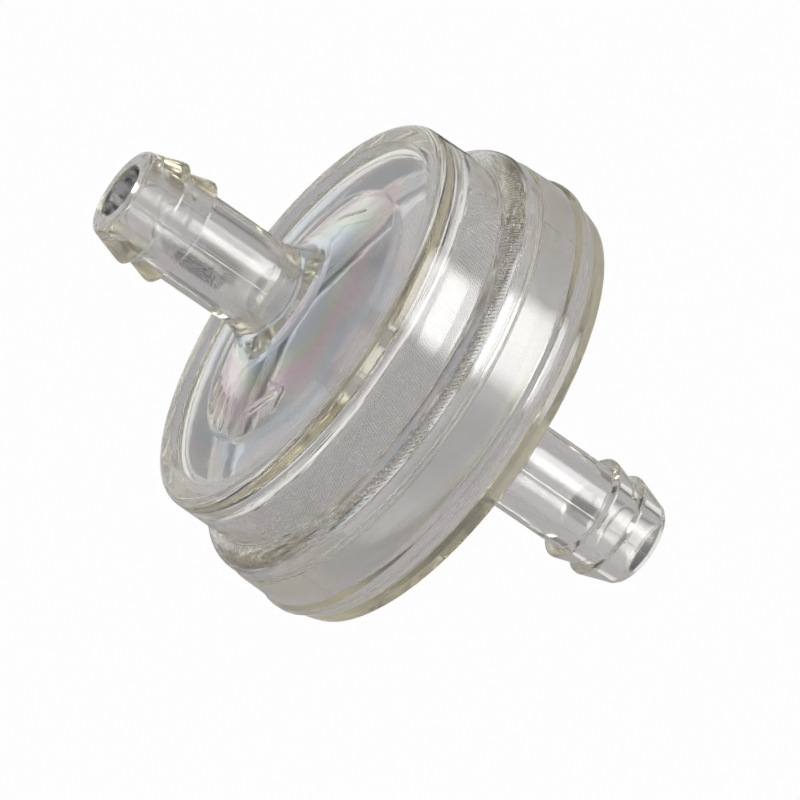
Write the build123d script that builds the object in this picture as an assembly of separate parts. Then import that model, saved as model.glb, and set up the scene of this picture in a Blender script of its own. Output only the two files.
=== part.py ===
"""Inline fuel filter for small engines: two clear moulded shells, the screen between them and their weld.

The flow axis is X, from the inlet nipple at -X to the outlet nipple at +X, with +Z up.
The origin is midway between the two nipple tips. All sizes are in millimetres.
Every piece is turned from an outline of (x, radius) corners.
"""

import os

from build123d import *

HALF_LENGTH = 24.1  # from the middle to either nipple tip

# hose nipple, the same at both ends
HOSE_BORE = 6.35  # inside diameter of the quarter-inch hose
TUBE_R = HOSE_BORE / 2 + 0.325
BARB_R = 4.2
BARB_LAND = 0.2  # width of the flat on each barb crest
BARB_PITCH = 2.4
OUTER_BARB_X = 21.35  # tip side of the outer barb's crest
BARB_STEP = 0.05  # length of the steep face behind a crest
VALLEY_R = 3.6
TIP_R = 3.35
TIP_ROUND = 0.45
PORT_R = 2.0
PORT_ROUND = 0.25

# cone between a nipple and its end face
HUB_X = 10.3
HUB_FILLET = 3.0

# inlet shell
CONE_FOOT_X = 7.95
CONE_FOOT_R = 10.5
DISH_X = 7.75
DISH_R = 14.25
FRONT_RIM_X = 8.28
FRONT_RIM_INNER_R = 14.45
FRONT_RIM_R = 16.12
NECK_R = 16.25
NECK_WALL = 1.4
FLANGE_X = 2.95
FLANGE_R = 17.82

# outlet shell
CUP_R = 17.95
CUP_WALL = 2.25
CUP_END_X = 2.3
CUP_END_R = 18.08
REAR_RIM_R = 18.32
REAR_RIM_X = (2.75, 3.25)  # front and back of the rim's crest
GROOVE_R = 17.78
GROOVE_X = (4.3, 4.8)
REAR_FACE_X = 5.62
REAR_CORNER_R = 17.52
REAR_CONE_FOOT_R = 12.0

# joint: the outlet shell's spigot holds the screen against the bottom of the inlet shell's socket
JOINT_X = -0.5
SOCKET_DEPTH = 1.0
SOCKET_R = 16.8
SPIGOT_GAP = 0.05
SCREEN_R = 16.6
SCREEN_THICKNESS = 0.25
WELD_R = 17.3
WELD_WIDTH = 0.5

FACE_WALL = 1.2  # thickness of the end faces
INNER_CORNER_ROUND = 1.4
EDGE_ROUND = 0.12


def turned(corners):
    """A solid of revolution about X. Each corner is (x, radius, rounding)."""
    face = make_face(Polyline(*[(x, r) for x, r, _ in corners], close=True))
    for x, r, rounding in corners:
        if rounding:
            corner = face.vertices().sort_by_distance((x, r))[0]
            face = fillet(corner, rounding)
    return revolve(Plane.XZ * face, Axis.X)


def nipple_corners():
    """The barbed outside of a nipple from its tip inwards, as distances from the middle."""
    corners = [(HALF_LENGTH, PORT_R, PORT_ROUND), (HALF_LENGTH, TIP_R, TIP_ROUND)]
    for crest_x, foot_r in (
        (OUTER_BARB_X, VALLEY_R),
        (OUTER_BARB_X - BARB_PITCH, TUBE_R),
    ):
        corners += [
            (crest_x, BARB_R, 0),
            (crest_x - BARB_LAND, BARB_R, 0),
            (crest_x - BARB_LAND - BARB_STEP, foot_r, 0),
        ]
    return corners + [(HUB_X, TUBE_R, HUB_FILLET)]


def inner_cone_x(foot_x, foot_r, r):
    """Distance from the middle of an end cone's inside at a radius. The foot is on its outside."""
    slope = (HUB_X - foot_x) / (foot_r - TUBE_R)
    setback = FACE_WALL * (1 + slope**2) ** 0.5
    return HUB_X - slope * (r - TUBE_R) - setback


def inlet_shell():
    """Inlet nipple, conical face, dish, rolled rim, neck, and the flange with the screen's socket."""
    neck_inner_r = NECK_R - NECK_WALL
    socket_floor_x = SOCKET_DEPTH - JOINT_X
    front = nipple_corners() + [
        (CONE_FOOT_X, CONE_FOOT_R, 0.6),
        (DISH_X, DISH_R, 0.2),
        (FRONT_RIM_X, FRONT_RIM_INNER_R, 0.15),
        (FRONT_RIM_X, FRONT_RIM_R, 0.7),
        (FLANGE_X, NECK_R, 0.1),
        (FLANGE_X, FLANGE_R, 1.4),
        (-JOINT_X, FLANGE_R, EDGE_ROUND),
        (-JOINT_X, SOCKET_R, 0),
        (socket_floor_x, SOCKET_R, 0),
        (socket_floor_x, neck_inner_r, EDGE_ROUND),
        (DISH_X - FACE_WALL, neck_inner_r, INNER_CORNER_ROUND),
        (inner_cone_x(CONE_FOOT_X, CONE_FOOT_R, CONE_FOOT_R), CONE_FOOT_R, 0.8),
        (inner_cone_x(CONE_FOOT_X, CONE_FOOT_R, PORT_R), PORT_R, 0.6),
    ]
    shell = turned([(-x, r, rounding) for x, r, rounding in front])
    return shell - weld_bead()


def outlet_shell():
    """Cup with a spigot at its mouth, rolled rear rim, end face, cone and outlet nipple."""
    cup_inner_r = CUP_R - CUP_WALL
    spigot_r = SOCKET_R - SPIGOT_GAP
    spigot_x = JOINT_X - SOCKET_DEPTH + SCREEN_THICKNESS
    end_wall_x = REAR_FACE_X - FACE_WALL
    cone_slope = (HUB_X - REAR_FACE_X) / (REAR_CONE_FOOT_R - TUBE_R)
    inner_cone_at_foot_x = inner_cone_x(REAR_FACE_X, REAR_CONE_FOOT_R, REAR_CONE_FOOT_R)
    inner_foot_r = REAR_CONE_FOOT_R - (end_wall_x - inner_cone_at_foot_x) / cone_slope
    corners = nipple_corners() + [
        (REAR_FACE_X, REAR_CONE_FOOT_R, 0.8),
        (REAR_FACE_X, REAR_CORNER_R, 0.3),
        (GROOVE_X[1], GROOVE_R, 0.3),
        (GROOVE_X[0], GROOVE_R, 0.3),
        (REAR_RIM_X[1], REAR_RIM_R, 0.3),
        (REAR_RIM_X[0], REAR_RIM_R, 0.3),
        (CUP_END_X, CUP_END_R, 0.3),
        (JOINT_X, CUP_R, EDGE_ROUND),
        (JOINT_X, spigot_r, 0),
        (spigot_x, spigot_r, EDGE_ROUND),
        (spigot_x, cup_inner_r, EDGE_ROUND),
        (end_wall_x, cup_inner_r, INNER_CORNER_ROUND),
        (end_wall_x, inner_foot_r, 0.8),
        (inner_cone_x(REAR_FACE_X, REAR_CONE_FOOT_R, PORT_R), PORT_R, 0.6),
    ]
    return turned(corners) - weld_bead()


def filter_screen():
    """The woven screen as a plain disc of the same size, lying on the floor of the inlet shell's socket."""
    disc = Cylinder(SCREEN_R, SCREEN_THICKNESS)
    return Pos(X=JOINT_X - SOCKET_DEPTH + SCREEN_THICKNESS / 2) * Rot(Y=90) * disc


def weld_bead():
    """The melted ring that joins the two shells outside the screen."""
    half = WELD_WIDTH / 2
    return turned(
        [
            (JOINT_X - half, WELD_R - half, 0),
            (JOINT_X - half, WELD_R + half, 0),
            (JOINT_X + half, WELD_R + half, 0),
            (JOINT_X + half, WELD_R - half, 0),
        ]
    )


PARTS = {
    "inlet_shell": inlet_shell,
    "outlet_shell": outlet_shell,
    "filter_screen": filter_screen,
    "weld_bead": weld_bead,
}

os.makedirs("parts", exist_ok=True)
for name, make in PARTS.items():
    export_step(make(), f"parts/{name}.step")
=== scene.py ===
import math

import bpy
import numpy as np
from mathutils import Matrix, Vector


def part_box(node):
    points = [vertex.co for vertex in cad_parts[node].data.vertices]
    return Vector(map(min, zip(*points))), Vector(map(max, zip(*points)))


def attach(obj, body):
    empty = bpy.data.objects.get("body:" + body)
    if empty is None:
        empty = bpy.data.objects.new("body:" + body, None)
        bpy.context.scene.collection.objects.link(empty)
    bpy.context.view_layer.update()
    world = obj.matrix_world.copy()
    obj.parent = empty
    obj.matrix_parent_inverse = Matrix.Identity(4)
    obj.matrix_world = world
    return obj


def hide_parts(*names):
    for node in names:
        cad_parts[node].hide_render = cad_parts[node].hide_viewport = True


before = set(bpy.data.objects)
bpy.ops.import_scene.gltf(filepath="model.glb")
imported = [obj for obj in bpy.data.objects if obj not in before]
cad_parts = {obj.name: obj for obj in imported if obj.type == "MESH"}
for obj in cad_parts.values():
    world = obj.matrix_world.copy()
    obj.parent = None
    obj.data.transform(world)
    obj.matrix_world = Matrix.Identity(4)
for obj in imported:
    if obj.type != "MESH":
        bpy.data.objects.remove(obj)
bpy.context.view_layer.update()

# An inline fuel filter: two clear moulded shells, the woven screen between them, and their weld.
# Outlines are in millimetres, as (distance along the flow axis X, radius) with a corner rounding.
# The whole object is turned about X. The scene itself is in metres.
MM = 0.001

half_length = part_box("outlet_shell")[1].x / MM
flange_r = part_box("inlet_shell")[1].y / MM
screen_low, screen_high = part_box("filter_screen")
screen_front_x = screen_low.x / MM
screen_back_x = screen_high.x / MM
screen_r = screen_high.y / MM
weld_low, weld_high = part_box("weld_bead")
joint_x = (weld_low.x + weld_high.x) / 2 / MM
weld_half = (weld_high.x - weld_low.x) / 2 / MM
weld_r = weld_high.y / MM - weld_half

# ---------------------------------------------------------------- how the object faces the camera

CAMERA_TILT = math.radians(35)  # how far the side nearest the camera is turned up from level
AXIS_AWAY = 0.365  # cosine between the flow axis and the line of sight
IMAGE_ROLL = math.radians(34.4)  # how far the flow axis runs downhill in the picture
CAMERA_DISTANCE = 0.320
LENS = 200.2
SENSOR = 36.0
ORIGIN_RIGHT = -1.04 * MM  # where the object's origin sits in the picture, from its middle
ORIGIN_UP = 1.97 * MM

# The object's directions: along its flow axis, out of the side that faces the camera, and square to both.
flow = Vector((1, 0, 0))
near = Vector((0, -math.cos(CAMERA_TILT), math.sin(CAMERA_TILT)))
above = near.cross(flow)

# The camera's directions: towards it, and right and up in its picture.
axis_across = math.sqrt(1 - AXIS_AWAY**2)
toward = -AXIS_AWAY * flow + axis_across * near
along = axis_across * flow + AXIS_AWAY * near
right = math.cos(IMAGE_ROLL) * along + math.sin(IMAGE_ROLL) * above
up = -math.sin(IMAGE_ROLL) * along + math.cos(IMAGE_ROLL) * above

# ---------------------------------------------------------------- turned outlines

ARC_STEP = math.radians(9)
SIDE_MARGIN = 0.05


def rounded_corner(before, corner, after, rounding):
    """Points along the arc that replaces a corner of an outline."""
    back = (before - corner) / np.linalg.norm(before - corner)
    ahead = (after - corner) / np.linalg.norm(after - corner)
    half_angle = math.acos(np.clip(back @ ahead, -1, 1)) / 2
    middle = back + ahead
    centre = corner + middle / np.linalg.norm(middle) * rounding / math.sin(half_angle)
    reach = rounding / math.tan(half_angle)
    start = corner + back * reach - centre
    end = corner + ahead * reach - centre
    turn = math.pi - 2 * half_angle
    count = max(2, math.ceil(turn / ARC_STEP))
    points = []
    for i in range(count + 1):
        t = i / count
        a = math.sin((1 - t) * turn) / math.sin(turn)
        b = math.sin(t * turn) / math.sin(turn)
        points.append(centre + a * start + b * end)
    return points


def outline(corners):
    """A closed outline from (x, r, rounding) corners, as an array of points."""
    places = [np.array(corner[:2], float) for corner in corners]
    points = []
    for i, (place, corner) in enumerate(zip(places, corners)):
        if corner[2]:
            following = places[(i + 1) % len(places)]
            points += rounded_corner(places[i - 1], place, following, corner[2])
        else:
            points.append(place)
    return flat_sided(np.array(points))


def flat_sided(points):
    """The outline with a point near both ends of each long side, so that smooth shading leaves it flat."""
    out = []
    for a, b in zip(points, np.roll(points, -1, axis=0)):
        length = np.linalg.norm(b - a)
        out.append(a)
        if length > 3 * SIDE_MARGIN:
            step = (b - a) / length * SIDE_MARGIN
            out += [a + step, b - step]
    return np.array(out)


def refined(points, low, high, step):
    """The outline with its edges split into steps where they cross the radii from low to high."""
    out = []
    for a, b in zip(points, np.roll(points, -1, axis=0)):
        out.append(a)
        if min(a[1], b[1]) >= high or max(a[1], b[1]) <= low:
            continue
        pieces = math.ceil(np.linalg.norm(b - a) / step)
        splits = [a + (b - a) * k / pieces for k in range(1, pieces)]
        out += [split for split in splits if low < split[1] < high]
    return np.array(out)


def around(count, clusters=()):
    """Sorted angles right round, with extra ones in each (centre, half width, step) cluster, in degrees."""
    angles = list(np.linspace(0, 2 * math.pi, count, endpoint=False))
    for centre, half_width, step in np.radians(clusters):
        extra = np.arange(centre - half_width, centre + half_width, step)
        angles += list(np.mod(extra, 2 * math.pi))
    return np.unique(np.round(angles, 6))


def turned(name, points, angles, relief=None):
    """A mesh object turned about the flow axis. relief(points, normal, angle) gives outward offsets."""
    ahead = np.roll(points, -1, axis=0)
    behind = np.roll(points, 1, axis=0)
    tangent = ahead - behind
    normal = np.stack([tangent[:, 1], -tangent[:, 0]], axis=1)
    normal /= np.linalg.norm(normal, axis=1)[:, None]
    # An outline may run either way round. The sign of its area says which way is out.
    area = 0.5 * np.sum(points[:, 0] * ahead[:, 1] - ahead[:, 0] * points[:, 1])
    if area < 0:
        normal = -normal
    rings = []
    for angle in angles:
        place = points
        if relief:
            place = points + normal * relief(points, normal, angle)[:, None]
        spoke = near * math.cos(angle) + above * math.sin(angle)
        x, r = place[:, 0], place[:, 1]
        rings.append(np.stack([x, r * spoke.y, r * spoke.z], axis=1))
    count, total = len(points), len(angles)
    verts = np.concatenate(rings) * MM
    i = np.arange(count)
    j = np.arange(total)[:, None]
    a = j * count + i
    b = j * count + (i + 1) % count
    c = (j + 1) % total * count + (i + 1) % count
    d = (j + 1) % total * count + i
    quads = np.stack([a, b, c, d], axis=-1).reshape(-1, 4)
    if area > 0:
        quads = quads[:, ::-1]
    return mesh_object(name, verts, quads)


def mesh_object(name, verts, faces):
    """A smooth-shaded mesh object from arrays of points and of four-cornered faces."""
    mesh = bpy.data.meshes.new(name)
    mesh.from_pydata(verts.tolist(), [], faces.tolist())
    mesh.validate()
    mesh.polygons.foreach_set("use_smooth", [True] * len(mesh.polygons))
    mesh.update()
    thing = bpy.data.objects.new(name, mesh)
    bpy.context.collection.objects.link(thing)
    return thing


# ---------------------------------------------------------------- shells

# hose nipple, the same at both ends
TUBE_R = 3.5
BARB_R = 4.2
BARB_LAND = 0.2
BARB_PITCH = 2.4
BARB_STEP = 0.05
BARB_ROUNDS = (0.08, 0.06, 0.1)  # front of the crest, back of the crest, foot
OUTER_BARB_X = 21.35
VALLEY_R = 3.6
TIP_R = 3.35
TIP_ROUND = 0.45
PORT_R = 2.0
PORT_ROUND = 0.25
HUB_X = 10.3
HUB_FILLET = 3.0

# inlet shell
CONE_FOOT = (7.95, 10.5)
DISH = (7.75, 14.25)
FRONT_RIM_X = 8.28
FRONT_RIM_INNER_R = 14.45
FRONT_RIM_R = 16.12
NECK_R = 16.25
NECK_WALL = 1.4
FLANGE_X = 2.95

# outlet shell
CUP_R = 17.95
CUP_WALL = 2.25
CUP_END = (2.3, 18.08)
REAR_RIM_X = (2.75, 3.25)
REAR_RIM_R = 18.32
GROOVE_X = (4.3, 4.8)
GROOVE_R = 17.78
REAR_FACE_X = 5.62
REAR_CORNER_R = 17.52
REAR_CONE_FOOT_R = 12.0
REAR_ROUND = 0.3

# both shells
FACE_WALL = 1.2
INNER_CORNER_ROUND = 1.4
EDGE_ROUND = 0.12
WELD_GROOVE_ROUND = 0.06
WELD_ROUND = 0.12
SOCKET_R = 16.8
SPIGOT_R = 16.75
JOINT_GAP = 0.02  # air left between the two shells and round the weld
THREAD_BITE = 0.07  # how far each shell's clamping ring presses in among the threads
CLAMP_R = 15.75  # inside this radius the inlet shell's clamping face stands back from the screen
SPIGOT_CLAMP_R = CLAMP_R + 0.3  # and inside this one the spigot's end slopes back from it
CLAMP_STEP = 0.12


def nipple_corners():
    """The barbed outside of a nipple from its tip inwards, as distances from the middle."""
    corners = [(half_length, PORT_R, PORT_ROUND), (half_length, TIP_R, TIP_ROUND)]
    for crest_x, foot_r in ((OUTER_BARB_X, VALLEY_R), (OUTER_BARB_X - BARB_PITCH, TUBE_R)):
        corners += [
            (crest_x, BARB_R, BARB_ROUNDS[0]),
            (crest_x - BARB_LAND, BARB_R, BARB_ROUNDS[1]),
            (crest_x - BARB_LAND - BARB_STEP, foot_r, BARB_ROUNDS[2]),
        ]
    return corners + [(HUB_X, TUBE_R, HUB_FILLET)]


def cone_slope(foot):
    """How far an end cone runs along the axis for each millimetre of radius, from a point on its outside."""
    return (HUB_X - foot[0]) / (foot[1] - TUBE_R)


def inner_cone_x(foot, r):
    """Distance from the middle of the inside of an end cone at a radius."""
    slope = cone_slope(foot)
    return HUB_X - slope * (r - TUBE_R) - FACE_WALL * math.sqrt(1 + slope**2)


def weld_groove(face_x):
    """Corners of a shell's half of the groove that holds the weld, from the outside inwards."""
    outer = weld_r + weld_half + JOINT_GAP
    inner = weld_r - weld_half - JOINT_GAP
    return [
        (face_x, outer, 0),
        (face_x + weld_half, outer, WELD_GROOVE_ROUND),
        (face_x + weld_half, inner, WELD_GROOVE_ROUND),
        (face_x, inner, 0),
    ]


def inlet_corners():
    """Inlet nipple, conical face, dish, rolled rim, neck, and the flange with the screen's socket."""
    face = JOINT_GAP / 2 - joint_x
    neck_inner_r = NECK_R - NECK_WALL
    clamp_x = -THREAD_BITE - screen_front_x
    front = nipple_corners() + [
        (*CONE_FOOT, 0.6),
        (*DISH, 0.2),
        (FRONT_RIM_X, FRONT_RIM_INNER_R, 0.15),
        (FRONT_RIM_X, FRONT_RIM_R, 0.7),
        (FLANGE_X, NECK_R, 0.1),
        (FLANGE_X, flange_r, 1.4),
        (face, flange_r, EDGE_ROUND),
        *weld_groove(face),
        (face, SOCKET_R, 0),
        (clamp_x, SOCKET_R, 0),
        (clamp_x, CLAMP_R, 0),
        (clamp_x + CLAMP_STEP, CLAMP_R, 0),
        (clamp_x + CLAMP_STEP, neck_inner_r, EDGE_ROUND),
        (DISH[0] - FACE_WALL, neck_inner_r, INNER_CORNER_ROUND),
        (inner_cone_x(CONE_FOOT, CONE_FOOT[1]), CONE_FOOT[1], 0.8),
        (inner_cone_x(CONE_FOOT, PORT_R), PORT_R, 0.6),
    ]
    return [(-x, r, rounding) for x, r, rounding in front]


def outlet_corners():
    """Cup with a spigot at its mouth, rolled rear rim, end face, cone and outlet nipple."""
    face = joint_x + JOINT_GAP / 2
    cup_inner_r = CUP_R - CUP_WALL
    clamp_x = screen_back_x - THREAD_BITE
    foot = (REAR_FACE_X, REAR_CONE_FOOT_R)
    end_wall_x = REAR_FACE_X - FACE_WALL
    inner_foot_r = foot[1] - (end_wall_x - inner_cone_x(foot, foot[1])) / cone_slope(foot)
    return nipple_corners() + [
        (*foot, 0.8),
        (REAR_FACE_X, REAR_CORNER_R, REAR_ROUND),
        (GROOVE_X[1], GROOVE_R, REAR_ROUND),
        (GROOVE_X[0], GROOVE_R, REAR_ROUND),
        (REAR_RIM_X[1], REAR_RIM_R, REAR_ROUND),
        (REAR_RIM_X[0], REAR_RIM_R, REAR_ROUND),
        (*CUP_END, REAR_ROUND),
        (face, CUP_R, EDGE_ROUND),
        *weld_groove(face),
        (face, SPIGOT_R, 0),
        (clamp_x, SPIGOT_R, EDGE_ROUND),
        (clamp_x, SPIGOT_CLAMP_R, 0.05),
        (clamp_x + CLAMP_STEP, cup_inner_r, 0),
        (end_wall_x, cup_inner_r, INNER_CORNER_ROUND),
        (end_wall_x, inner_foot_r, 0.8),
        (inner_cone_x(foot, PORT_R), PORT_R, 0.6),
    ]


def weld_corners():
    """The weld ring's section, a small rounded square."""
    return [
        (joint_x - weld_half, weld_r - weld_half, WELD_ROUND),
        (joint_x - weld_half, weld_r + weld_half, WELD_ROUND),
        (joint_x + weld_half, weld_r + weld_half, WELD_ROUND),
        (joint_x + weld_half, weld_r - weld_half, WELD_ROUND),
    ]


# ---------------------------------------------------------------- raised details

PARTING_ANGLE = -3.9  # the mould parting plane, in degrees above the near side
PARTING_HEIGHT = 0.03
PARTING_WIDTH = 0.07
OUTWARD = 0.6  # how far a face's normal leans outwards, at the least, where the ridge runs
PORT_MARGIN = 0.2  # the ridge keeps this far from the bore

# Raised strokes on the inlet cone, each (angle, radius, angle, radius) from end to end, in degrees and mm.
# A row of plain bars and a flow arrow stand in for the maker's lettering.
MARK_HEIGHT = 0.16
MARK_HALF_WIDTH = 0.2
BAR_ANGLES = (-118, -108, -98, -88, -78)
MARK_STROKES = [(angle, 7.9, angle, 9.9) for angle in BAR_ANGLES]
MARK_STROKES += [(-62, 8.9, -34, 8.9), (-34, 8.9, -43, 7.9), (-34, 8.9, -43, 9.9)]
GATE_STROKES = [(85, 8.7, 96, 7.8), (96, 7.8, 102, 7.35)]
GATE_HEIGHT = 0.07
GATE_HALF_WIDTH = 0.12
MARK_RADII = (7.0, 10.4)  # the part of the cone that needs a fine mesh for them
MARK_STEP = 0.14
FORWARD = -0.5  # a face whose normal lies below this along X belongs to the outside of the inlet cone


def parting_ridge(points, normal, angle):
    """Height of the fine ridge that the two mould halves leave along opposite sides."""
    off = (angle - math.radians(PARTING_ANGLE) + math.pi / 2) % math.pi - math.pi / 2
    away = off * points[:, 1] / PARTING_WIDTH
    outer = (normal[:, 1] > OUTWARD) & (points[:, 1] > PORT_R + PORT_MARGIN)
    return np.where(outer, PARTING_HEIGHT * np.exp(-(away**2)), 0.0)


def face_place(angle, r):
    """A point on the inlet face from its angle in radians and its radius, as seen along the axis."""
    return r * np.array([math.cos(angle), math.sin(angle)])


def stroke_height(points, angle, stroke, half_width):
    """From 0 to 1, how high a raised stroke stands at each point. Its middle third is flat."""
    start = face_place(math.radians(stroke[0]), stroke[1])
    end = face_place(math.radians(stroke[2]), stroke[3])
    place = points[:, 1:2] * face_place(angle, 1.0)[None, :]
    run = end - start
    share = np.clip((place - start) @ run / (run @ run), 0, 1)
    distance = np.linalg.norm(place - start - share[:, None] * run, axis=1)
    return np.clip(1.5 - 1.5 * distance / half_width, 0, 1)


def inlet_relief(points, normal, angle):
    """The parting ridge, with the raised marks on the outside of the cone."""
    height = parting_ridge(points, normal, angle)
    angle = math.remainder(angle, 2 * math.pi)
    marks = np.zeros(len(points))
    for stroke in MARK_STROKES:
        marks = np.maximum(marks, MARK_HEIGHT * stroke_height(points, angle, stroke, MARK_HALF_WIDTH))
    for stroke in GATE_STROKES:
        marks = np.maximum(marks, GATE_HEIGHT * stroke_height(points, angle, stroke, GATE_HALF_WIDTH))
    return height + np.where(normal[:, 0] < FORWARD, marks, 0.0)


# Extra angles where the relief needs them, as (centre, half width, step) in degrees.
PARTING_CLUSTERS = [(PARTING_ANGLE, 1.2, 0.15), (PARTING_ANGLE + 180, 1.2, 0.15)]
MARK_CLUSTERS = [(-76, 45, 0.45), (93, 10, 0.5)]
SHELL_ANGLES = 300
WELD_ANGLES = 240

inlet_outline = refined(outline(inlet_corners()), *MARK_RADII, MARK_STEP)
inlet_angles = around(SHELL_ANGLES, PARTING_CLUSTERS + MARK_CLUSTERS)
inlet = turned("inlet_moulding", inlet_outline, inlet_angles, inlet_relief)
outlet_angles = around(SHELL_ANGLES, PARTING_CLUSTERS)
outlet = turned("outlet_moulding", outline(outlet_corners()), outlet_angles, parting_ridge)
weld = turned("weld_ring", outline(weld_corners()), around(WELD_ANGLES))

# ---------------------------------------------------------------- woven screen

THREAD_PITCH = 0.216
THREAD_R = 0.04
THREAD_SIDES = 4
THREAD_SWELL = 1.2  # four-sided threads are drawn this much larger, to cover as much as round ones
WEAVE_TURN = math.radians(8.2)


def woven_threads(lengthways, across, phase):
    """Points and faces of one set of parallel threads that pass over and under at every crossing."""
    reach = screen_r - THREAD_R
    lanes = math.floor(reach / THREAD_PITCH)
    middle_x = (screen_front_x + screen_back_x) / 2
    turns = [(side + 0.5) * 2 * math.pi / THREAD_SIDES for side in range(THREAD_SIDES)]
    section = [(across * math.cos(turn) + flow * math.sin(turn)) * THREAD_R * THREAD_SWELL for turn in turns]
    verts, faces, start = [], [], 0
    for lane in range(-lanes, lanes + 1):
        offset = (lane + 0.5) * THREAD_PITCH
        if abs(offset) >= reach:
            continue
        half = math.sqrt(reach**2 - offset**2)
        knots = range(math.ceil(-half / THREAD_PITCH), math.floor(half / THREAD_PITCH) + 1)
        if len(knots) < 2:
            continue
        for k in knots:
            over = 1 if (k + lane + phase) % 2 == 0 else -1
            forward = (k + 0.5 * phase) * THREAD_PITCH
            sideways = offset - 0.5 * (1 - phase) * THREAD_PITCH
            centre = lengthways * forward + across * sideways + flow * (middle_x + over * THREAD_R)
            verts += [centre + spoke for spoke in section]
        for k in range(len(knots) - 1):
            for side in range(THREAD_SIDES):
                a = start + k * THREAD_SIDES + side
                b = start + k * THREAD_SIDES + (side + 1) % THREAD_SIDES
                faces.append((a, b, b + THREAD_SIDES, a + THREAD_SIDES))
        faces.append(tuple(start + side for side in reversed(range(THREAD_SIDES))))
        end = start + (len(knots) - 1) * THREAD_SIDES
        faces.append(tuple(end + side for side in range(THREAD_SIDES)))
        start += len(knots) * THREAD_SIDES
    return verts, faces


def woven_screen():
    """The screen as a plain weave of round threads."""
    lengthways = near * math.cos(WEAVE_TURN) - above * math.sin(WEAVE_TURN)
    across = flow.cross(lengthways)
    verts, faces = woven_threads(lengthways, across, 0)
    more_verts, more_faces = woven_threads(across, lengthways, 1)
    faces += [tuple(v + len(verts) for v in face) for face in more_faces]
    verts += more_verts
    return mesh_object("woven_screen", np.array([tuple(v) for v in verts]) * MM, np.array(faces))


screen = woven_screen()

# ---------------------------------------------------------------- shader helpers


def turned_position(tree):
    """Sockets for the distance along the flow axis, the radius and the whole position, in metres."""
    place = tree.nodes.new("ShaderNodeTexCoord").outputs["Object"]
    parts = tree.nodes.new("ShaderNodeSeparateXYZ")
    tree.links.new(place, parts.inputs["Vector"])
    flattened = tree.nodes.new("ShaderNodeVectorMath")
    flattened.operation = "MULTIPLY"
    flattened.inputs[1].default_value = (0, 1, 1)
    tree.links.new(place, flattened.inputs[0])
    radius = tree.nodes.new("ShaderNodeVectorMath")
    radius.operation = "LENGTH"
    tree.links.new(flattened.outputs["Vector"], radius.inputs[0])
    return parts.outputs["X"], radius.outputs["Value"], place


def ramp(tree, source, limits, ends):
    """A socket that goes from one end value to the other as the source goes from limit to limit."""
    node = tree.nodes.new("ShaderNodeMapRange")
    node.inputs["From Min"].default_value = limits[0]
    node.inputs["From Max"].default_value = limits[1]
    node.inputs["To Min"].default_value = ends[0]
    node.inputs["To Max"].default_value = ends[1]
    tree.links.new(source, node.inputs["Value"])
    return node.outputs["Result"]


def joined(tree, operation, a, b):
    """A socket that holds two values put together by a math operation."""
    node = tree.nodes.new("ShaderNodeMath")
    node.operation = operation
    tree.links.new(a, node.inputs[0])
    tree.links.new(b, node.inputs[1])
    return node.outputs["Value"]


def band(tree, source, low, high, edge):
    """A socket that is 1 from low to high and falls to 0 within an edge on either side."""
    rise = ramp(tree, source, (low - edge, low), (0.0, 1.0))
    fall = ramp(tree, source, (high, high + edge), (1.0, 0.0))
    return joined(tree, "MULTIPLY", rise, fall)


def blended(tree, share, at_none, at_full):
    """A colour socket that mixes two colours, each a socket or a fixed value."""
    node = tree.nodes.new("ShaderNodeMix")
    node.data_type = "RGBA"
    tree.links.new(share, node.inputs["Factor"])
    for source, socket in ((at_none, node.inputs["A"]), (at_full, node.inputs["B"])):
        if isinstance(source, tuple):
            socket.default_value = source
        else:
            tree.links.new(source, socket)
    return node.outputs["Result"]


def noise(tree, place, size, detail):
    """A soft noise socket whose patches are about this size, in metres."""
    node = tree.nodes.new("ShaderNodeTexNoise")
    node.inputs["Scale"].default_value = 1 / size
    node.inputs["Detail"].default_value = detail
    tree.links.new(place, node.inputs["Vector"])
    return node.outputs["Fac"]


def share_of(tree, place, direction):
    """A socket that holds how far a place lies along a direction, in metres."""
    node = tree.nodes.new("ShaderNodeVectorMath")
    node.operation = "DOT_PRODUCT"
    node.inputs[1].default_value = direction
    tree.links.new(place, node.inputs[0])
    return node.outputs["Value"]


# ---------------------------------------------------------------- materials

WHITE = (1.0, 1.0, 1.0, 1.0)
HAZE = 0.03  # share of light that the slightly milky plastic scatters
PLASTIC_IOR = 1.5
SHELL_TINT = (0.95, 0.89, 0.58)
SHELL_DENSITY = 39.0
WELD_TINT = (0.8, 0.75, 0.4)
WELD_DENSITY = 200.0
THREAD_COLOUR = (0.96, 0.95, 0.94, 1)
THREAD_ROUGHNESS = 0.45
RIPPLE_SIZE = 3.0 * MM
RIPPLE_HEIGHT = 0.012 * MM
LAMP_SHARE = (0.9, 0.9, 0.9, 1)  # how much lamp light passes each wall of the plastic

# Roughness, and where it changes.
WALL_ROUGHNESS = 0.015
FACE_ROUGHNESS = 0.05
BORE_ROUGHNESS = 0.17
CORE_ROUGHNESS = 0.25  # the inside of the outlet shell
# Painted shade: a grey tint inside the outlet cup, so that the cup looks darker.
CORE_SHADE_COLOUR = (0.80, 0.80, 0.81, 1.0)
FACE_EDGE = (-7.4 * MM, -6.9 * MM)
BORE_EDGE = ((PORT_R + 0.2) * MM, (PORT_R + 0.5) * MM)
CORE_EDGE = (16.0 * MM, 16.4 * MM)
CORE_FADE = 0.1 * MM
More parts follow.
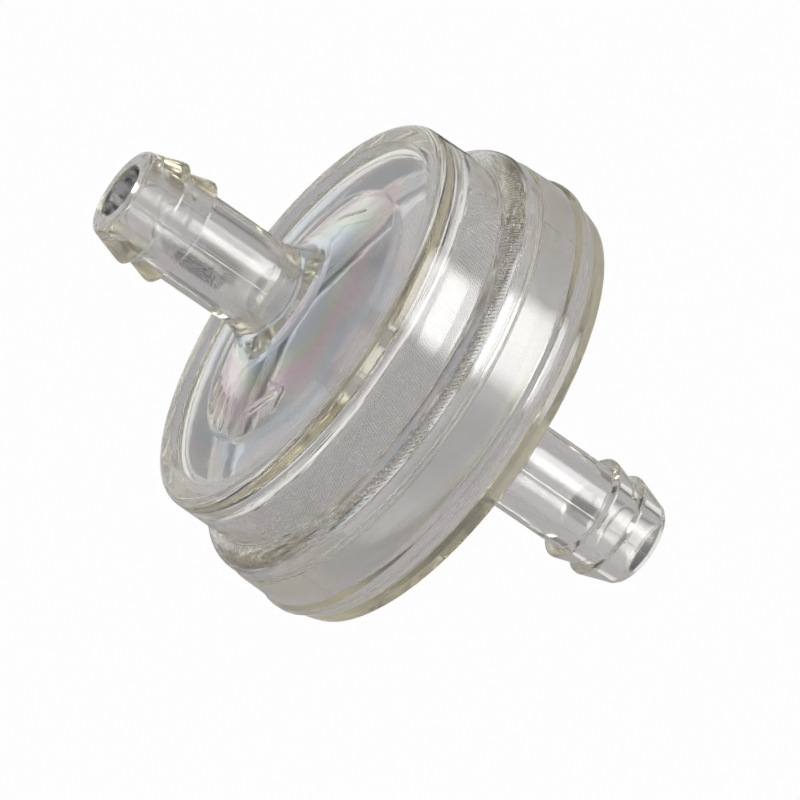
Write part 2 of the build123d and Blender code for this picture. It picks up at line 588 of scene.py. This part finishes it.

# Painted sheen: the colours that strained plastic shows in polarised reflections lie in wavering rings on
# the inlet face. Each is (share of the way out, colour).
STRAIN_SHEEN_COLOURS = (
    (0.30, (0.76, 0.85, 1.0)),
    (0.42, (0.88, 0.98, 0.84)),
    (0.54, (1.0, 0.81, 0.93)),
    (0.68, (0.97, 0.97, 0.97)),
    (0.80, (0.78, 0.89, 1.0)),
    (0.92, (1.0, 0.89, 0.97)),
)
STRAIN_SHEEN_REACH = 14.0 * MM
STRAIN_SHEEN_WAVER = 3.0 * MM
STRAIN_SHEEN_SIZE = 9.0 * MM
STRAIN_SHEEN_CONTRAST = (0.3, 0.7)
STRAIN_SHEEN_FACE = (-11.0 * MM, -6.3 * MM)  # the stretch of the inlet shell that has them
STRAIN_SHEEN_FADE = 0.8 * MM
STRAIN_SHEEN_EDGE = (12.5 * MM, 14.0 * MM)

# Painted shade in the inlet bore: a dark mouth with lighter streaks that are painted reflections, and a
# speckled patch of rough grain darkened as painted shade on the low side.
BORE_SHADE_EDGE = ((PORT_R + 0.1) * MM, (PORT_R + 0.3) * MM)
MOUTH_END = (-22.6 * MM, -22.2 * MM)
MOUTH_SIDE = (-0.6 * MM, 0.0)  # the mouth's painted shade lies on its far side only
MOUTH_SHADE_BRIGHTNESS = (0.01, 0.4)
STREAK_SIZE = 1.2 * MM
STREAK_CONTRAST = (0.42, 0.62)
PATCH_X = (-18.6 * MM, -14.8 * MM)
PATCH_FADE = 0.3 * MM
PATCH_SIDE = (-1.0 * MM, -0.5 * MM)  # and the patch, darkened as painted shade, on its low side
SPECKLE_SHADE_BRIGHTNESS = (0.15, 0.8)
SPECKLE_SIZE = 0.11 * MM
SPECKLE_CONTRAST = (0.42, 0.58)


def inner_core(tree, along_axis, radius):
    """A socket that is 1 on the inside of the outlet shell's cup, which is duller, and darker by a painted
    shade.
    """
    end_wall_x = REAR_FACE_X - FACE_WALL
    in_cup = band(tree, along_axis, joint_x * MM, end_wall_x * MM + CORE_FADE, CORE_FADE)
    return joined(tree, "MULTIPLY", in_cup, ramp(tree, radius, CORE_EDGE, (1.0, 0.0)))


def strain_sheen_colour(tree, radius, place):
    """Painted sheen: the faint colours that strained plastic shows in polarised reflections, in rings round
    the flow axis that waver in and out.
    """
    drift = noise(tree, place, STRAIN_SHEEN_SIZE, detail=1.0)
    waver = ramp(tree, drift, STRAIN_SHEEN_CONTRAST, (-STRAIN_SHEEN_WAVER, STRAIN_SHEEN_WAVER))
    ring = ramp(tree, joined(tree, "ADD", radius, waver), (0.0, STRAIN_SHEEN_REACH), (0.0, 1.0))
    sheen_ramp = tree.nodes.new("ShaderNodeValToRGB")
    stops = sheen_ramp.color_ramp.elements
    stops[0].color = WHITE
    stops[1].color = WHITE
    for position, colour in STRAIN_SHEEN_COLOURS:
        stops.new(position).color = (*colour, 1)
    tree.links.new(ring, sheen_ramp.inputs["Fac"])
    return sheen_ramp.outputs["Color"]


def shell_colour(tree, along_axis, radius, place):
    """White, with a painted strain sheen on the inlet face, a core darkened by painted shade, and in the
    inlet bore painted shade: a dark mouth with streaks of painted reflection and a speckled patch on the low
    side.
    """
    # Painted sheen: strain colours on the inlet cone and face.
    on_cone = ramp(tree, radius, STRAIN_SHEEN_EDGE, (1.0, 0.0))
    on_face = band(tree, along_axis, *STRAIN_SHEEN_FACE, STRAIN_SHEEN_FADE)
    strain_sheen_share = joined(tree, "MULTIPLY", on_cone, on_face)
    wall = blended(tree, strain_sheen_share, WHITE, strain_sheen_colour(tree, radius, place))
    # Painted shade: the inside of the cup is tinted grey.
    wall = blended(tree, inner_core(tree, along_axis, radius), wall, CORE_SHADE_COLOUR)
    in_bore = ramp(tree, radius, BORE_SHADE_EDGE, (1.0, 0.0))
    # Painted shade in the bore mouth, on its far side, with lighter streaks as painted reflections.
    mouth = ramp(tree, along_axis, MOUTH_END, (1.0, 0.0))
    far_side = ramp(tree, share_of(tree, place, near), MOUTH_SIDE, (1.0, 0.0))
    painted_mouth_shade = joined(tree, "MULTIPLY", joined(tree, "MULTIPLY", in_bore, mouth), far_side)
    mouth_shade_and_glints = ramp(tree, noise(tree, place, STREAK_SIZE, detail=2.0), STREAK_CONTRAST, MOUTH_SHADE_BRIGHTNESS)
    wall = blended(tree, painted_mouth_shade, wall, mouth_shade_and_glints)
    # A speckled patch on the bore's low side: rough grain, darkened as painted shade.
    low_side = ramp(tree, share_of(tree, place, above), PATCH_SIDE, (1.0, 0.0))
    patch = joined(tree, "MULTIPLY", low_side, band(tree, along_axis, *PATCH_X, PATCH_FADE))
    grain = noise(tree, place, SPECKLE_SIZE, detail=3.0)
    grain_and_shade = ramp(tree, grain, SPECKLE_CONTRAST, SPECKLE_SHADE_BRIGHTNESS)
    return blended(tree, joined(tree, "MULTIPLY", in_bore, patch), wall, grain_and_shade)


def let_lamps_through(tree, shader, output):
    """Lets lamp light pass straight through the plastic, so that the screen inside is lit."""
    rays = tree.nodes.new("ShaderNodeLightPath")
    clear = tree.nodes.new("ShaderNodeBsdfTransparent")
    clear.inputs["Color"].default_value = LAMP_SHARE
    either = tree.nodes.new("ShaderNodeMixShader")
    tree.links.new(rays.outputs["Is Shadow Ray"], either.inputs["Fac"])
    tree.links.new(shader.outputs["BSDF"], either.inputs[1])
    tree.links.new(clear.outputs["BSDF"], either.inputs[2])
    tree.links.new(either.outputs["Shader"], output.inputs["Surface"])


def clear_plastic(name, tint, density):
    """Clear moulded plastic: polished walls, duller in the bores and inside the cup, tinted where thick."""
    material = bpy.data.materials.new(name)
    material.use_nodes = True
    tree = material.node_tree
    shader = tree.nodes["Principled BSDF"]
    output = tree.nodes["Material Output"]
    shader.inputs["Transmission Weight"].default_value = 1 - HAZE
    shader.inputs["IOR"].default_value = PLASTIC_IOR
    along_axis, radius, place = turned_position(tree)
    bore_dull = ramp(tree, radius, BORE_EDGE, (BORE_ROUGHNESS, WALL_ROUGHNESS))
    face_dull = ramp(tree, along_axis, FACE_EDGE, (FACE_ROUGHNESS, WALL_ROUGHNESS))
    core_dull = ramp(tree, inner_core(tree, along_axis, radius), (0.0, 1.0), (0.0, CORE_ROUGHNESS))
    dullest = joined(tree, "MAXIMUM", joined(tree, "MAXIMUM", bore_dull, face_dull), core_dull)
    tree.links.new(dullest, shader.inputs["Roughness"])
    bump = tree.nodes.new("ShaderNodeBump")
    bump.inputs["Distance"].default_value = RIPPLE_HEIGHT
    tree.links.new(noise(tree, place, RIPPLE_SIZE, detail=2.0), bump.inputs["Height"])
    tree.links.new(bump.outputs["Normal"], shader.inputs["Normal"])
    tree.links.new(shell_colour(tree, along_axis, radius, place), shader.inputs["Base Color"])
    volume = tree.nodes.new("ShaderNodeVolumeAbsorption")
    volume.inputs["Color"].default_value = (*tint, 1)
    volume.inputs["Density"].default_value = density
    tree.links.new(volume.outputs["Volume"], output.inputs["Volume"])
    let_lamps_through(tree, shader, output)
    return material


def thread_material():
    """White nylon thread."""
    material = bpy.data.materials.new("nylon_thread")
    material.use_nodes = True
    shader = material.node_tree.nodes["Principled BSDF"]
    shader.inputs["Base Color"].default_value = THREAD_COLOUR
    shader.inputs["Roughness"].default_value = THREAD_ROUGHNESS
    return material


shell_material = clear_plastic("clear_plastic", SHELL_TINT, SHELL_DENSITY)
inlet.data.materials.append(shell_material)
outlet.data.materials.append(shell_material)
weld.data.materials.append(clear_plastic("weld_plastic", WELD_TINT, WELD_DENSITY))
screen.data.materials.append(thread_material())

for piece, node in (
    (inlet, "inlet_shell"),
    (outlet, "outlet_shell"),
    (weld, "weld_bead"),
    (screen, "filter_screen"),
):
    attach(piece, "root")
    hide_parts(node)

# ---------------------------------------------------------------- floor, lights and camera

FLOOR_SIZE = 6.0
FLOOR_Z = -0.30
SEEN_WHITE = 0.985  # how bright the floor and the room look to the camera itself
FLOOR_GREY = 0.41
ROOM_GREY = 0.38
ROOM_DARK = 0.10
ROOM_TURN = (-0.1, 0.7)  # the room darkens between these cosines from the camera's side
ROOM_TINT = (0.975, 0.955, 1.0, 1.0)
SOFT_EDGE = (0.3, 0.48)  # where a panel's glow falls away, in shares of its width from its middle
KEY_DIRECTION = right * 0.85 + up * 0.20 + toward * 0.49
CARD_DIRECTION = right * -0.42 + up * 0.40 - toward * 0.81
BOUNCES = 32  # enough for light to cross every wall of the plastic
GLOSSY_BOUNCES = 16


def white_floor():
    """A wide floor that the camera sees as plain white, and that the plastic bends and reflects as grey."""
    bpy.ops.mesh.primitive_plane_add(size=FLOOR_SIZE, location=(0, 0, FLOOR_Z))
    floor = bpy.context.object
    material = bpy.data.materials.new("white_floor")
    material.use_nodes = True
    tree = material.node_tree
    tree.nodes.clear()
    seen = tree.nodes.new("ShaderNodeLightPath").outputs["Is Camera Ray"]
    glow = tree.nodes.new("ShaderNodeEmission")
    output = tree.nodes.new("ShaderNodeOutputMaterial")
    tree.links.new(ramp(tree, seen, (0.0, 1.0), (FLOOR_GREY, SEEN_WHITE)), glow.inputs["Strength"])
    tree.links.new(blended(tree, seen, ROOM_TINT, WHITE), glow.inputs["Color"])
    tree.links.new(glow.outputs["Emission"], output.inputs["Surface"])
    floor.data.materials.append(material)


def softbox(name, direction, distance, size, brightness):
    """A glowing panel that faces the object and fades at its edges. The camera can't see it."""
    bpy.ops.mesh.primitive_plane_add(size=1)
    panel = bpy.context.object
    panel.name = name
    panel.scale = (*size, 1)
    panel.location = direction.normalized() * distance
    panel.rotation_mode = "QUATERNION"
    panel.rotation_quaternion = direction.to_track_quat("Z", "Y")
    panel.visible_camera = False
    material = bpy.data.materials.new(name)
    material.use_nodes = True
    tree = material.node_tree
    tree.nodes.clear()
    place = tree.nodes.new("ShaderNodeTexCoord").outputs["Object"]
    from_middle = tree.nodes.new("ShaderNodeVectorMath")
    from_middle.operation = "LENGTH"
    tree.links.new(place, from_middle.inputs[0])
    glow = tree.nodes.new("ShaderNodeEmission")
    output = tree.nodes.new("ShaderNodeOutputMaterial")
    level = ramp(tree, from_middle.outputs["Value"], SOFT_EDGE, (brightness, 0.0))
    tree.links.new(level, glow.inputs["Strength"])
    tree.links.new(glow.outputs["Emission"], output.inputs["Surface"])
    panel.data.materials.append(material)


def grey_room():
    """Grey all round, darker on the camera's side, and white where the camera sees past the floor."""
    world = bpy.data.worlds.new("room")
    bpy.context.scene.world = world
    world.use_nodes = True
    tree = world.node_tree
    background = tree.nodes["Background"]
    direction = tree.nodes.new("ShaderNodeTexCoord").outputs["Generated"]
    seen = tree.nodes.new("ShaderNodeLightPath").outputs["Is Camera Ray"]
    level = ramp(tree, share_of(tree, direction, toward), ROOM_TURN, (ROOM_GREY, ROOM_DARK))
    seen_level = ramp(tree, seen, (0.0, 1.0), (0.0, SEEN_WHITE))
    tree.links.new(joined(tree, "MAXIMUM", level, seen_level), background.inputs["Strength"])
    tree.links.new(blended(tree, seen, ROOM_TINT, WHITE), background.inputs["Color"])


def product_camera():
    """A long lens at the angle that shows the inlet end nearer, high and to the left."""
    data = bpy.data.cameras.new("camera")
    data.lens = LENS
    data.sensor_width = SENSOR
    camera = bpy.data.objects.new("camera", data)
    place = toward * CAMERA_DISTANCE - right * ORIGIN_RIGHT - up * ORIGIN_UP
    turn = Matrix((right, up, toward)).transposed().to_4x4()
    camera.matrix_world = Matrix.Translation(place) @ turn
    bpy.context.collection.objects.link(camera)
    bpy.context.scene.camera = camera


white_floor()
grey_room()
softbox("key", KEY_DIRECTION, distance=0.5, size=(0.44, 0.48), brightness=8.0)
softbox("card", CARD_DIRECTION, distance=0.35, size=(0.48, 0.48), brightness=0.85)
product_camera()

scene = bpy.context.scene
scene.view_settings.view_transform = "Standard"
scene.cycles.max_bounces = BOUNCES
scene.cycles.transmission_bounces = BOUNCES
scene.cycles.transparent_max_bounces = BOUNCES
scene.cycles.glossy_bounces = GLOSSY_BOUNCES
